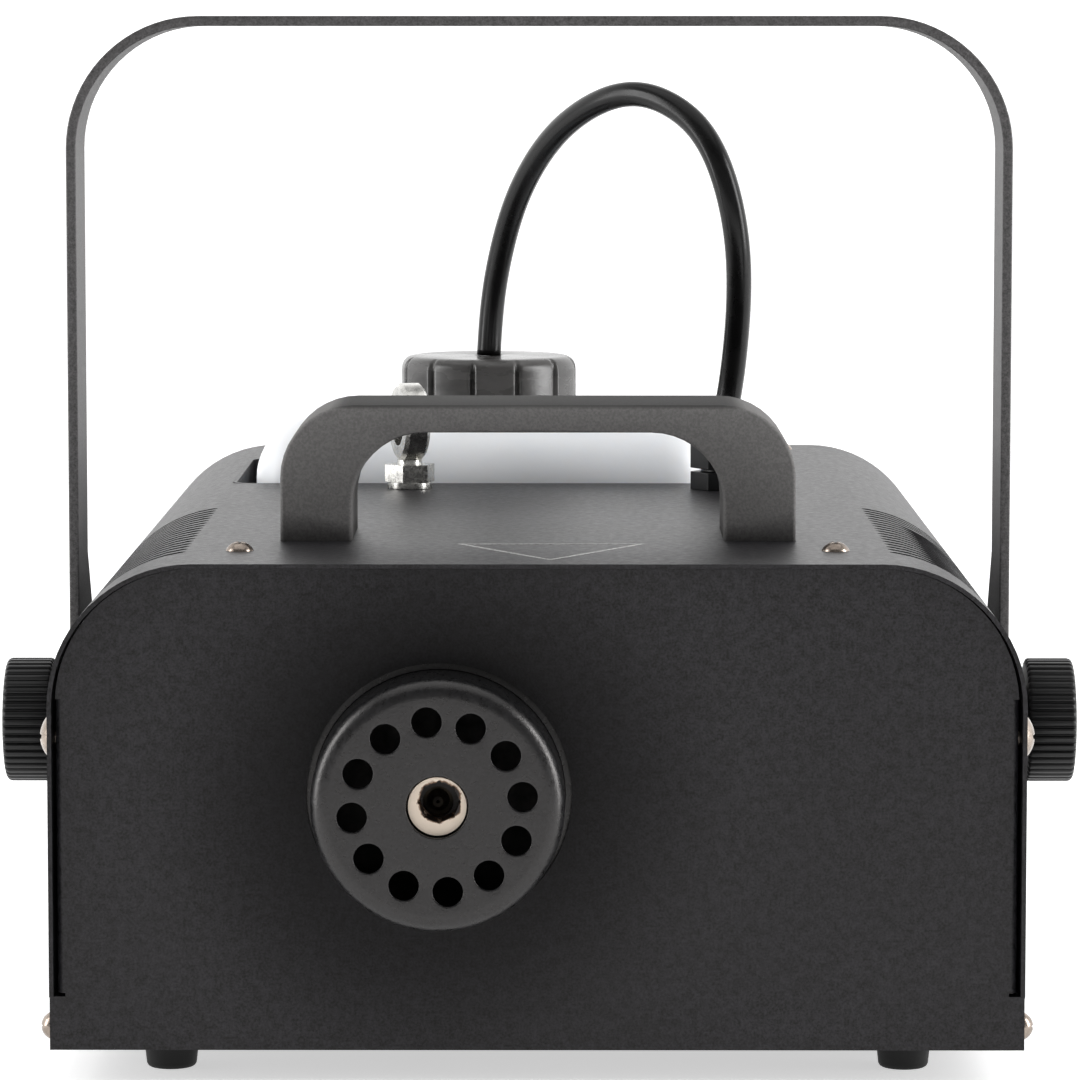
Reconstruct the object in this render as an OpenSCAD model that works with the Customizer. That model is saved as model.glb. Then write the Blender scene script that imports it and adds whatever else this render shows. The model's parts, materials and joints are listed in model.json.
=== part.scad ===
// Fog machine with a front outlet, a tilting yoke, a carrying handle and a lift-out fluid tank.
// The front faces -Y. Distances named *_y below are measured back from the cover's front rim.

/* [Housing] */
// Width over the cover
body_w = 270; // [266:1:270]
// Length of the cover from its front rim to its rear rim
cover_l = 424; // [422:1:428]
// Height of the top face above the table
top_z = 144.5; // [144:0.5:146]
// Height of the underside above the table
base_z = 9; // [9:0.5:10]
// Radius of the cover's shoulders
shoulder_r = 40; // [38:1:42]
// Thickness of the cover's steel sheet
sheet_t = 1.2; // [1:0.1:1.4]
// Thickness of the chassis plate and the end panels
plate_t = 1.5; // [1.2:0.1:1.6]

/* [Vents] */
// Number of slots in each shoulder
vent_count = 18; // [10:1:18]
// Distance from one slot to the next
vent_pitch = 8; // [7:0.5:8]
// Width of one slot
vent_w = 4; // [3:0.5:5]

/* [Heat guard] */
// Distance of the outlet's axis left of the middle
outlet_x = -27; // [-30:1:-24]
// Height of the outlet's axis above the table
outlet_z = 80.3; // [78:0.1:82]
// Outside diameter of the heat guard
guard_d = 69.5; // [66:0.5:70.5]
// How far the guard stands in front of the cover's rim
guard_out = 21.5; // [20:0.5:23]
// Number of cooling holes around the guard
guard_holes = 12; // [6:1:14]
// Diameter of a cooling hole
guard_hole_d = 8.2; // [7:0.1:9]

/* [Handle] */
// Width of the handle over its legs
handle_w = 148; // [142:0.5:150]
// Height of the handle above the top face
handle_h = 39.1; // [37:0.1:42]
// Depth of the handle from front to back
handle_d = 43; // [38:1:46]
// Width of one handle leg
leg_w = 20.6; // [19:0.2:22]

/* [Yoke] */
// Width of the yoke over its arms
yoke_w = 285; // [285:1:287]
// Height of the yoke's top above the table
yoke_top_z = 295; // [294:1:300]
// Width of the flat bar
bar_w = 30; // [26:1:32]
// Thickness of the flat bar
bar_t = 3; // [2.5:0.5:3]
// Radius of the yoke's outer corners
yoke_r = 40; // [35:1:45]
// Height of the tilt axis above the table
pivot_z = 79; // [78:0.5:80]
// Distance of the tilt axis behind the front rim
pivot_y = 172.5; // [170:0.5:175]
// Diameter of a clamping knob
knob_d = 38; // [34:1:40]
// Number of ribs around a knob
knob_ribs = 46; // [24:1:50]

/* [Tank] */
// Width of the tank
tank_w = 149; // [144:1:150]
// Depth of the tank from front to back
tank_d = 93; // [88:1:94]
// Height of the tank's shoulder above the table
tank_top_z = 165; // [163:0.5:166]
// Diameter of the tank's cap
cap_d = 58.5; // [56:0.5:60]
// Number of grooves around the cap
cap_grooves = 12; // [8:1:16]

/* [Hose and fittings] */
// Outside diameter of the fluid hose
hose_d = 8; // [7:0.5:9]
// Outside diameter of the eye bolt's ring
eye_d = 25; // [24:0.5:26]
// Diameter of the eye bolt's opening
eye_hole_d = 15; // [14:0.5:16]

/* [Hidden] */
$fn = 64;
eps = 0.01;
half_w = body_w / 2;
inner_half_w = half_w - sheet_t;
rear_out = 3.4;
rim_y = -(cover_l + rear_out - guard_out) / 2;
floor_z = base_z + plate_t;
under_top_z = top_z - sheet_t;
panel_y = 1.5;
panel_back_y = panel_y + plate_t;
rear_panel_y = cover_l - panel_y - plate_t;
rear_face_y = cover_l - panel_y;
strip_top_z = 24;
panel_gap = 1;
flange_gap = 0.2;
flange_half_w = inner_half_w - flange_gap;
panel_half_w = inner_half_w - panel_gap;
foldback_top_z = 107;
fold_r = 2.2;

foot_x = 103;
foot_y = 25;
rear_foot_y = cover_l - foot_y;
side_screw_y = 10;
side_screw_z = 14.3;
rear_screw_y = cover_l - side_screw_y;
dome_screw_y = 15;
dome_screw_z = 95;
top_screw_x = 84;
top_screw_y = 39;
rear_top_screw_y = cover_l - 20;
m3_clear_r = 1.7;
m4_clear_r = 2.2;
m5_clear_r = 2.7;
m6_clear_r = 3.2;

well_x = -17;
well_y = 312.5;
well_in_w = 164;
well_in_d = 100;
well_r = 6;
well_gap = 0.3;
well_floor_z = floor_z + sheet_t;

tank_x = -18.8;
tank_y = 311;
tank_base_z = well_floor_z + 0.1;
tank_wall = 2;
tank_plan_r = 12;
tank_top_r = 20;
tank_side_r = 12;
cap_x = -17.5;
cap_y = 311;
cap_top_z = 183.3;
cap_low_z = tank_top_z + 0.4;
neck_r = 25;
neck_bore_r = 21;
neck_top_z = 175.5;
cap_bore_r = neck_r + 0.35;
cap_hole_r = hose_d / 2 + 0.3;
seal_t = 2;
pickup_low_z = 40;

gland_x = 59;
gland_y = 242;
gland_top_z = 168;
gland_bore_r = hose_d / 2 + 0.1;
eye_x = -42;
eye_y = 244;
eye_turn = 16;
eye_top_z = 178.3;

handle_y = 66;
handle_bar_t = 7.9;
handle_outer_r = 21;
handle_inner_r = 21;

arm_in_x = yoke_w / 2 - bar_t;
bar_y = 147.5;
flare_z = 131;
flare_low_z = 105;
end_r = 25;
yoke_inner_r = yoke_r - bar_t;
clamp_hole_r = 6.5;
stud_r = 4;
pivot_bore_r = 4.05;
spacer_gap = 0.1;
washer_t = 1.6;
knob_in_x = 149.6;
knob_out_x = 164.2;

heater_y = 36;
heater_l = 150;
block_w = 62;
block_h = 46;
case_w = 88;
case_h = 72;
case_y = 24;
case_l = 176;
case_t = 1;
case_low_z = outlet_z - case_h / 2;
nozzle_tip_y = -10.5;

pump_x = 78;
pump_y = 62;
pump_z = 50;
pump_l = 104;

board_x = 101;
board_y = 250;
board_w = 52;
board_l = 100;
board_z = 24;
board_t = 1.6;

inlet_x = 88;
inlet_z = 45;
drawer_z = inlet_z + 19;
rocker_x = 88;
rocker_z = 100;
rocker_tilt = 8;
menu_x = -10;
menu_z = 88;
menu_pitch = 16;
display_z = 110;
dmx_z = 52;
dmx_in_x = -90;
dmx_out_x = -50;

// Route of the free hose from the tank's cap over to the gland: x, distance behind the rim, z
hose_route = [
  [-17.5, 311, 183.3],
  [-17, 311, 193],
  [-16, 310, 203.5],
  [-14.5, 307.5, 212.5],
  [-12, 304, 223.5],
  [-9, 298.5, 234],
  [-4, 290.5, 245],
  [2, 280.5, 254.5],
  [9, 270, 262],
  [17, 260, 267.5],
  [25.5, 252, 271],
  [33.5, 246, 271],
  [41, 239.5, 268],
  [47.5, 234.5, 263.5],
  [52.5, 230.5, 257.5],
  [56.5, 227, 249.5],
  [59.5, 225, 240],
  [62, 225, 228.5],
  [63, 227, 217],
  [63.2, 231, 205.5],
  [62.6, 237.5, 192.5],
  [61.2, 241.5, 179],
  [60, 242, 172],
  [59, 242, 168]
];

// Route of the hose inside the housing, from the gland down to the pump's inlet
inlet_route = [
  [59, 242, 167.5],
  [59, 242, 150],
  [59, 242, 120],
  [60, 240, 98],
  [62, 232, 78],
  [66, 218, 62],
  [71, 200, 53],
  [78, 183, 50],
  [78, 166, 50]
];

// Route of the metal tube from the pump's outlet to the heater block
pressure_route = [
  [78, 58, 50],
  [78, 52, 50],
  [78, 44, 54],
  [74, 38, 62],
  [66, 36, 71],
  [56, 38, 80],
  [46, 44, 87],
  [36, 52, 90],
  [26, 56, 90],
  [16, 57, 90],
  [4, 57, 90]
];

// ---- helpers -------------------------------------------------------------------------------

// Places its children by x, distance behind the front rim, and height
module at(x, y, z) {
  translate([x, rim_y + y, z])
    children();
}

// Extrudes an outline drawn in X and Z backwards over a length
module along_y(l) {
  rotate([90, 0, 0])
    translate([0, 0, -l])
      linear_extrude(l)
        children();
}

// Extrudes an outline drawn in Y and Z to the right over a length
module along_x(l) {
  rotate([90, 0, 90])
    linear_extrude(l)
      children();
}

// Rods and tubes that start at the origin and run along +X, +Y or +Z
module rod_x(r, l) {
  rotate([0, 90, 0])
    cylinder(r = r, h = l);
}

module rod_y(r, l) {
  rotate([-90, 0, 0])
    cylinder(r = r, h = l);
}

module ring_z(r, bore, l) {
  difference() {
    cylinder(r = r, h = l);
    translate([0, 0, -1])
      cylinder(r = bore, h = l + 2);
  }
}

module ring_x(r, bore, l) {
  rotate([0, 90, 0])
    ring_z(r, bore, l);
}

module ring_y(r, bore, l) {
  rotate([-90, 0, 0])
    ring_z(r, bore, l);
}

// A block centred in X and Y that stands on the origin's level
module block(w, d, h) {
  translate([-w / 2, -d / 2, 0])
    cube([w, d, h]);
}

module hex_z(flats, h) {
  cylinder(d = flats / cos(30), h = h, $fn = 6);
}

// A rectangle with rounded corners, centred
module rounded(w, d, r) {
  square([w, d - 2 * r], center = true);
  square([w - 2 * r, d], center = true);
  for (x = [-1, 1])
    for (y = [-1, 1])
      translate([x * (w / 2 - r), y * (d / 2 - r)])
        circle(r);
}

// An upright outline with a flat foot and two rounded shoulders
module arch(half, low, high, r) {
  translate([-half, low])
    square([2 * half, high - r - low]);
  translate([-half + r, low])
    square([2 * (half - r), high - low]);
  for (side = [-1, 1])
    translate([side * (half - r), high - r])
      circle(r);
}

// A domed head whose flat side lies on the origin's level
module dome(r, h) {
  ball_r = (r * r + h * h) / (2 * h);
  rotate_extrude()
    intersection() {
      translate([0, h - ball_r])
        circle(ball_r);
      square([r, h]);
    }
}

// A pan head screw pointing down: head above the origin's level, shank below, with a cross recess
module pan_screw(head_r, head_h, shank_r, shank_l) {
  difference() {
    union() {
      dome(head_r, head_h);
      translate([0, 0, -shank_l])
        cylinder(r = shank_r, h = shank_l + eps);
    }
    for (turn = [0, 90])
      rotate([0, 0, turn])
        translate([-head_r * 0.5, -head_r * 0.11, head_h * 0.4])
          cube([head_r, head_r * 0.22, head_h]);
  }
}

// A tube swept along a route; ref is a direction that the route never runs along
function unit(v) = v / norm(v);
function stop(path, i) = path[min(max(i, 0), len(path) - 1)];
function heading(path, i) = unit(stop(path, i + 1) - stop(path, i - 1));
function side_of(path, i, ref) = unit(cross(ref, heading(path, i)));
function rim_of(path, i, r, n, ref) = [
  for (a = [0 : n - 1])
    path[i] + r * (cos(360 * a / n) * side_of(path, i, ref)
                   + sin(360 * a / n) * cross(heading(path, i), side_of(path, i, ref)))
];

module tube(route, r, n, ref) {
  path = [for (p = route) [p.x, rim_y + p.y, p.z]];
  rings = len(path);
  points = [for (i = [0 : rings - 1]) each rim_of(path, i, r, n, ref)];
  wall = [
    for (i = [0 : rings - 2])
      for (a = [0 : n - 1])
        each [[i * n + a, (i + 1) * n + a, (i + 1) * n + (a + 1) % n],
              [i * n + a, (i + 1) * n + (a + 1) % n, i * n + (a + 1) % n]]
  ];
  first_cap = [[for (a = [0 : n - 1]) a]];
  last_cap = [[for (a = [0 : n - 1]) rings * n - 1 - a]];
  polyhedron(points = points, faces = concat(wall, first_cap, last_cap));
}

// ---- housing -------------------------------------------------------------------------------

module panel_outline() {
  arch(panel_half_w, base_z, under_top_z - flange_gap, shoulder_r - sheet_t - panel_gap);
}

// The front wall, cut back where its two sides fold over
module front_outline() {
  difference() {
    panel_outline();
    for (side = [-1, 1])
      translate([side * panel_half_w - fold_r, strip_top_z])
        square([2 * fold_r, foldback_top_z - strip_top_z]);
  }
  translate([-half_w, base_z])
    square([body_w, strip_top_z - base_z]);
}

// The bend and the flange behind it on the right side of the front wall
module side_fold(depth) {
  low_z = strip_top_z + 1;
  height = foldback_top_z - low_z;
  at(panel_half_w - fold_r, panel_y + fold_r, low_z)
    linear_extrude(height)
      intersection() {
        difference() {
          circle(fold_r);
          circle(fold_r - plate_t);
        }
        translate([-eps, -fold_r])
          square([2 * fold_r, fold_r]);
      }
  at(panel_half_w - plate_t, panel_y + fold_r - eps, low_z)
    cube([plate_t, depth - fold_r, height]);
}

module chassis() {
  fold_l = 25.5;
  top_flange_l = 47;
  rear_lip_z = 22;
  color("dimgray")
    difference() {
      union() {
        // front wall with its full-width lower strip
        at(0, panel_y, 0)
          along_y(plate_t)
            front_outline();
        side_fold(fold_l);
        mirror([1, 0, 0])
          side_fold(fold_l);
        // floor
        at(-flange_half_w, panel_back_y - eps, base_z)
          cube([2 * flange_half_w, rear_panel_y - panel_back_y, plate_t]);
        // long side flanges and the shelf under the cover's top
        for (side = [-1, 1])
          at(side * (flange_half_w - plate_t / 2) - plate_t / 2, panel_back_y + 0.3, base_z)
            cube([plate_t, rear_panel_y - panel_back_y - 0.6, strip_top_z - base_z]);
        at(-93, panel_back_y - eps, under_top_z - flange_gap - plate_t)
          cube([186, top_flange_l, plate_t]);
        // upturned lip at the rear that the rear panel is screwed to
        at(-120, rear_panel_y - plate_t, base_z)
          cube([240, plate_t, rear_lip_z - base_z]);
      }
      at(outlet_x, 0, outlet_z)
        rod_y(36.7, 10);
      for (x = [-foot_x, foot_x])
        for (y = [foot_y, rear_foot_y])
          at(x, y, base_z - 1)
            cylinder(r = m4_clear_r, h = 5);
      for (side = [-1, 1]) {
        at(side * half_w - 10, side_screw_y, side_screw_z)
          rod_x(m4_clear_r, 20);
        at(side * half_w - 10, rear_screw_y, side_screw_z)
          rod_x(m4_clear_r, 20);
        at(side * half_w - 10, dome_screw_y, dome_screw_z)
          rod_x(m6_clear_r, 20);
        at(side * top_screw_x, top_screw_y, under_top_z - 5)
          cylinder(r = m4_clear_r, h = 10);
      }
      for (x = [-100, 0, 100])
        at(x, rear_panel_y - 5, 17)
          rod_y(m3_clear_r, 10);
      // air slots in the floor under the pump and the board
      for (i = [0 : 7])
        at(60 + i * 7, 190, base_z - 1)
          cube([3, 40, 5]);
    }
}

module vent_slots() {
  first_y = 37;
  inner_x = 99;
  low_z = 104;
  for (i = [0 : vent_count - 1])
    for (side = [-1, 1])
      at(0, first_y + i * vent_pitch, 0)
        mirror([side < 0 ? 1 : 0, 0, 0]) {
          translate([inner_x + vent_w / 2, -vent_w / 2, low_z + vent_w / 2])
            cube([half_w - inner_x, vent_w, top_z - low_z]);
          translate([inner_x + vent_w / 2, 0, low_z + 20])
            cylinder(d = vent_w, h = top_z - low_z, $fn = 32);
          translate([inner_x + 20, 0, low_z + vent_w / 2])
            rotate([0, 90, 0])
              cylinder(d = vent_w, h = half_w - inner_x, $fn = 32);
        }
}

module cover() {
  color("gray")
    difference() {
      at(0, 0, 0)
        along_y(cover_l)
          difference() {
            arch(half_w, base_z, top_z, shoulder_r);
            arch(inner_half_w, base_z - 1, under_top_z, shoulder_r - sheet_t);
          }
      at(-half_w - 1, -1, base_z - 1)
        cube([body_w + 2, panel_back_y + 1.1, strip_top_z - base_z + 1]);
      vent_slots();
      at(well_x, well_y, under_top_z - 5)
        linear_extrude(10)
          rounded(well_in_w + 2 * (sheet_t + well_gap), well_in_d + 2 * (sheet_t + well_gap),
                  well_r + sheet_t + well_gap);
      for (side = [-1, 1]) {
        for (y = [handle_y + 9, handle_y + handle_d - 9])
          at(side * (handle_w - leg_w) / 2, y, under_top_z - 5)
            cylinder(r = m5_clear_r, h = 10);
        for (y = [top_screw_y, rear_top_screw_y])
          at(side * top_screw_x, y, under_top_z - 5)
            cylinder(r = m4_clear_r, h = 10);
        for (y = [side_screw_y, rear_screw_y])
          at(side * half_w - 5, y, side_screw_z)
            rod_x(m4_clear_r, 10);
        at(side * half_w - 5, dome_screw_y, dome_screw_z)
          rod_x(m6_clear_r, 10);
        at(side * half_w - 5, pivot_y, pivot_z)
          rod_x(stud_r + 0.6, 10);
      }
      at(gland_x, gland_y, under_top_z - 5)
        cylinder(r = 7.7, h = 10);
      at(eye_x, eye_y, under_top_z - 5)
        cylinder(r = 4.2, h = 10);
    }
}

module rear_panel() {
  flange_l = 36;
  color("dimgray")
    difference() {
      union() {
        at(0, rear_panel_y, 0)
          along_y(plate_t)
            panel_outline();
        at(-93, rear_panel_y - flange_l, under_top_z - flange_gap - plate_t)
          cube([186, flange_l + eps, plate_t]);
      }
      for (side = [-1, 1])
        at(side * top_screw_x, rear_top_screw_y, under_top_z - 5)
          cylinder(r = m4_clear_r, h = 10);
      for (x = [-100, 0, 100])
        at(x, rear_panel_y - 5, 17)
          rod_y(m3_clear_r, 10);
      at(inlet_x - 14, rear_panel_y - 1, inlet_z - 10.5)
        cube([28, 5, 39]);
      for (x = [-20, 20])
        at(inlet_x + x, rear_panel_y - 1, inlet_z + 9)
          rod_y(m3_clear_r, 5);
      at(rocker_x - 13.5, rear_panel_y - 1, rocker_z - 9.5)
        cube([27, 5, 19]);
      for (x = [dmx_in_x, dmx_out_x]) {
        at(x, rear_panel_y - 1, dmx_z)
          rod_y(12, 5);
        for (turn = [-1, 1])
          at(x + turn * 9.5, rear_panel_y - 1, dmx_z - turn * 12)
            rod_y(m3_clear_r, 5);
      }
      at(menu_x - 29, rear_panel_y - 1, display_z - 9)
        cube([58, 5, 18]);
      for (i = [0 : 3])
        at(menu_x + (i - 1.5) * menu_pitch, rear_panel_y - 1, menu_z)
          rod_y(4.1, 5);
    }
}

module tank_well() {
  outer_w = well_in_w + 2 * sheet_t;
  outer_d = well_in_d + 2 * sheet_t;
  color("darkslategray")
    difference() {
      at(well_x, well_y, floor_z)
        linear_extrude(top_z - floor_z)
          rounded(outer_w, outer_d, well_r + sheet_t);
      at(well_x, well_y, well_floor_z)
        linear_extrude(top_z)
          rounded(well_in_w, well_in_d, well_r);
    }
}

// ---- outlet and heater ---------------------------------------------------------------------

module heat_guard() {
  wall = 1.5;
  edge_r = 5;
  flange_r = 45;
  pitch_r = 23.4;
  first_angle = 7;
  length = panel_back_y + guard_out;
  r = guard_d / 2;
  color("dimgray")
    at(outlet_x, -guard_out, outlet_z)
      difference() {
        rotate([-90, 0, 0])
          rotate_extrude($fn = 96)
            difference() {
              union() {
                translate([0, edge_r])
                  square([r, length - edge_r + wall]);
                square([r - edge_r, length]);
                translate([r - edge_r, edge_r])
                  circle(edge_r);
                translate([0, length])
                  square([flange_r, wall]);
              }
              translate([-20, 0])
                square([20, 100]);
              translate([0, edge_r])
                square([r - wall, length]);
              translate([0, wall])
                square([r - edge_r, length]);
              translate([r - edge_r, edge_r])
                circle(edge_r - wall);
            }
        translate([0, -1, 0])
          rod_y(8.5, 10);
        for (i = [0 : guard_holes - 1])
          rotate([0, -(first_angle + i * 360 / guard_holes), 0])
            translate([pitch_r, -1, 0])
              rod_y(guard_hole_d / 2, 10);
      }
}

module nozzle_insulator() {
  lobe_count = 8;
  bore_r = 5.35;
  front_y = -19.4;
  bore_shift = [0.5, -1, 1.2];
  lobe_r = 0.6;
  color("wheat")
    at(outlet_x, front_y, outlet_z)
      difference() {
        rod_y(8, case_y - front_y - 1);
        translate(bore_shift) {
          rod_y(bore_r, 10.2);
          for (i = [0 : lobe_count - 1])
            rotate([0, i * 360 / lobe_count, 0])
              translate([bore_r, 0, 0])
                rod_y(lobe_r, 9.2, $fn = 24);
        }
        rod_y(4.2, 60);
      }
}

module nozzle() {
  color("goldenrod")
    at(outlet_x, 0, outlet_z)
      difference() {
        rotate([-90, 0, 0])
          rotate_extrude()
            polygon([[0, nozzle_tip_y], [1.4, nozzle_tip_y], [3.1, nozzle_tip_y + 4], [4.1, nozzle_tip_y + 4],
                     [4.1, heater_y + 8], [0, heater_y + 8]]);
        translate([0, nozzle_tip_y - 1, 0])
          rod_y(0.5, 8, $fn = 24);
        translate([0, nozzle_tip_y + 5, 0])
          rod_y(1.6, 60, $fn = 24);
      }
}

module heater_block() {
  color("silver")
    difference() {
      at(outlet_x, heater_y + heater_l / 2, outlet_z - block_h / 2)
        block(block_w, heater_l, block_h);
      at(outlet_x, heater_y - 1, outlet_z)
        rod_y(4.15, 9.1);
      // two deep holes that hold the cartridge elements
      for (x = [-18, 18])
        at(outlet_x + x, heater_y + 10, outlet_z - 8)
          rod_y(5, heater_l);
      at(outlet_x + block_w / 2 - 12, 57, 90)
        rod_x(2.2, 20);
    }
}

module heater_insulation() {
  gap = 0.3;
  color("beige")
    difference() {
      at(outlet_x, case_y + case_l / 2, case_low_z + case_t + gap)
        block(case_w - 2 * case_t - 2 * gap, case_l - 2 * case_t - 2 * gap, case_h - 2 * case_t - 2 * gap);
      at(outlet_x, heater_y + heater_l / 2, outlet_z - block_h / 2 - gap)
        block(block_w + 2 * gap, heater_l + 2 * gap, block_h + 2 * gap + 8);
      at(outlet_x, 0, outlet_z)
        rod_y(8.4, heater_y + 5);
      at(outlet_x, 57, 90)
        rod_x(2.6, 80);
    }
}

module heater_case() {
  color("lightgray")
    difference() {
      at(outlet_x, case_y + case_l / 2, case_low_z)
        block(case_w, case_l, case_h);
      at(outlet_x, case_y + case_l / 2, case_low_z + case_t)
        block(case_w - 2 * case_t, case_l - 2 * case_t, case_h - 2 * case_t);
      at(outlet_x, case_y - 5, outlet_z)
        rod_y(8.2, 10);
      at(outlet_x, 57, 90)
        rod_x(2.6, 80);
    }
}

module heater_legs() {
  foot_l = 16;
  leg_t = 2;
  color("lightgray")
    for (y = [case_y + 20, case_y + case_l - 40])
      at(outlet_x, y, 0)
        difference() {
          union() {
            for (side = [-1, 1]) {
              translate([side * (case_w / 2 - leg_t / 2) - leg_t / 2, 0, floor_z])
                cube([leg_t, 20, case_low_z - floor_z]);
              translate([side > 0 ? case_w / 2 - leg_t : -case_w / 2 - foot_l + leg_t, 0, floor_z])
                cube([foot_l, 20, leg_t]);
            }
            translate([-case_w / 2, 0, case_low_z - leg_t])
              cube([case_w, 20, leg_t]);
          }
          for (side = [-1, 1])
            translate([side * (case_w / 2 + 7), 10, floor_z - 1])
              cylinder(r = m4_clear_r, h = 10);
        }
}

module thermostat() {
  color("darkgoldenrod")
    at(outlet_x, case_y + 60, outlet_z + block_h / 2 + 0.3)
      union() {
        cylinder(r = 9, h = 3);
        translate([0, 0, 3])
          cylinder(r = 6, h = 4);
      }
}

module thermal_fuse() {
  color("silver")
    at(outlet_x + 5, case_y + 110, outlet_z + block_h / 2 + 2.6)
      rotate([0, -90, 0])
        union() {
          cylinder(r = 2, h = 11);
          translate([0, 0, -6])
            cylinder(r = 0.5, h = 23, $fn = 24);
        }
}

// ---- pump ----------------------------------------------------------------------------------

module pump_body() {
  color("ivory")
    at(pump_x, pump_y, pump_z)
      union() {
        rod_y(10, 34);
        translate([0, 30, 0])
          rod_y(9, 44);
        translate([0, 70, 0])
          rod_y(12, pump_l - 70);
        translate([0, -4, 0])
          rod_y(4, 6);
      }
}

module pump_coil() {
  color("firebrick")
    difference() {
      at(pump_x - 21, pump_y + 35, pump_z - 19)
        cube([42, 34, 38]);
      at(pump_x, pump_y + 30, pump_z)
        rod_y(9.2, 44);
    }
}

module pump_bracket() {
  strap_t = 2;
  strap_w = 12;
  color("lightgray")
    for (y = [12, 82])
      at(pump_x, pump_y + y, 0)
        difference() {
          union() {
            translate([-16, 0, floor_z + 8])
              cube([32, strap_w, strap_t]);
            translate([-16, 0, floor_z + 8])
              cube([32, strap_t, pump_z - floor_z + 8]);
          }
          translate([0, -1, pump_z])
            rod_y(y > 50 ? 12.2 : 10.2, 10);
          for (x = [-11, 11])
            translate([x, 7, floor_z])
              cylinder(r = m3_clear_r, h = 20);
        }
}

module pump_mounts() {
  color("black")
    for (y = [12, 82])
      for (x = [-11, 11])
        at(pump_x + x, pump_y + y + 7, floor_z)
          cylinder(r = 5, h = 8);
}

// ---- electronics ---------------------------------------------------------------------------

module control_board() {
  color("darkgreen")
    difference() {
      at(board_x, board_y + board_l / 2, board_z)
        block(board_w, board_l, board_t);
      for (x = [-1, 1])
        for (y = [4, board_l - 4])
          at(board_x + x * (board_w / 2 - 4), board_y + y, board_z - 1)
            cylinder(r = m3_clear_r, h = 5);
    }
}

module board_parts() {
  top = board_z + board_t;
  color("navy") {
    at(board_x - 4, board_y + 24, top)
      block(38, 32, 30);
    at(board_x - 12, board_y + 58, top)
      block(18, 22, 16);
    at(board_x + 10, board_y + 58, top)
      block(16, 22, 16);
    for (i = [0 : 2])
      at(board_x - 14 + i * 13, board_y + 80, top)
        cylinder(r = 5, h = 14);
  }
}

module board_standoffs() {
  color("gold")
    for (x = [-1, 1])
      for (y = [4, board_l - 4])
        at(board_x + x * (board_w / 2 - 4), board_y + y, floor_z)
          ring_z(3, m3_clear_r, board_z - floor_z);
}

module display_board() {
  color("darkgreen")
    at(menu_x - 36, rear_panel_y - 9, menu_z - 9)
      cube([72, board_t, 42]);
}

module display_window() {
  color("black")
    union() {
      at(menu_x - 31, rear_face_y, display_z - 11)
        cube([62, 1.2, 22]);
      at(menu_x - 28.8, rear_panel_y - 6, display_z - 8.8)
        cube([57.6, 6 + plate_t + eps, 17.6]);
    }
}

module menu_button(i) {
  color("black")
    at(menu_x + (i - 1.5) * menu_pitch, rear_panel_y - 3.5, menu_z)
      union() {
        rod_y(3.9, 3.5 + plate_t + 1.8);
        rod_y(5, 1.5);
      }
}

module power_inlet() {
  pin_l = 9;
  color("black")
    union() {
      difference() {
        union() {
          at(inlet_x - 25, rear_face_y, inlet_z - 13)
            cube([50, 4, 44]);
          at(inlet_x - 13.8, rear_panel_y - 18, inlet_z - 10.3)
            cube([27.6, 18 + plate_t + eps, 38.6]);
        }
        at(inlet_x - 12, rear_face_y - 12, inlet_z - 8)
          cube([24, 20, 16]);
        at(inlet_x - 10.2, rear_panel_y - 16, drawer_z - 5.2)
          cube([20.4, 30, 10.4]);
        for (x = [-20, 20])
          at(inlet_x + x, rear_panel_y - 1, inlet_z + 9)
            rod_y(m3_clear_r, 10);
      }
      for (x = [-7, 7])
        at(inlet_x + x - 1, rear_face_y - 12 - eps, inlet_z - 1)
          cube([2, pin_l, 4]);
      at(inlet_x - 1, rear_face_y - 12 - eps, inlet_z - 6)
        cube([2, pin_l, 4]);
    }
}

module fuse_drawer() {
  color("black")
    difference() {
      at(inlet_x - 10, rear_panel_y - 15, drawer_z - 5)
        cube([20, 15 + plate_t + 3.6, 10]);
      at(inlet_x - 8, rear_panel_y - 13, drawer_z - 3)
        cube([16, 12, 20]);
      at(inlet_x - 6, rear_face_y + 2.6, drawer_z - 1)
        cube([12, 5, 2]);
    }
}

module switch_frame() {
  color("black")
    difference() {
      union() {
        at(rocker_x - 15.5, rear_face_y, rocker_z - 11.5)
          cube([31, 1.8, 23]);
        at(rocker_x - 13.3, rear_panel_y - 16, rocker_z - 9.3)
          cube([26.6, 16 + plate_t + eps, 18.6]);
      }
      at(rocker_x - 12, rear_panel_y - 14, rocker_z - 8)
        cube([24, 30, 16]);
      at(rocker_x - 20, rear_panel_y - 3, rocker_z)
        rod_x(1.55, 40, $fn = 32);
    }
}

module power_rocker() {
  key_l = 15;
  key_w = 23.4;
  color("darkred")
    at(rocker_x, rear_panel_y - 3, rocker_z)
      union() {
        rotate([rocker_tilt, 0, 0])
          translate([-key_w / 2, 0, 0])
            along_x(key_w)
              polygon([[-3, -2.4], [0, -3], [4.4, -key_l / 2 + 0.3], [6.6, -key_l / 2 + 0.5],
                       [5.2, 0], [6.6, key_l / 2 - 0.5], [4.4, key_l / 2 - 0.3], [0, 3], [-3, 2.4]]);
        translate([-12.9, 0, 0])
          rod_x(1.5, 25.8, $fn = 32);
      }
}

module socket_shell(front) {
  difference() {
    union() {
      at(0, rear_face_y, dmx_z - 15.5)
        translate([-13, 0, 0])
          cube([26, 1.6, 31]);
      at(0, rear_panel_y - 18, dmx_z)
        rod_y(11.8, 18 + plate_t + front);
    }
    for (turn = [-1, 1])
      at(turn * 9.5, rear_panel_y - 1, dmx_z - turn * 12)
        rod_y(m3_clear_r, 5);
    children();
  }
}

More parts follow.
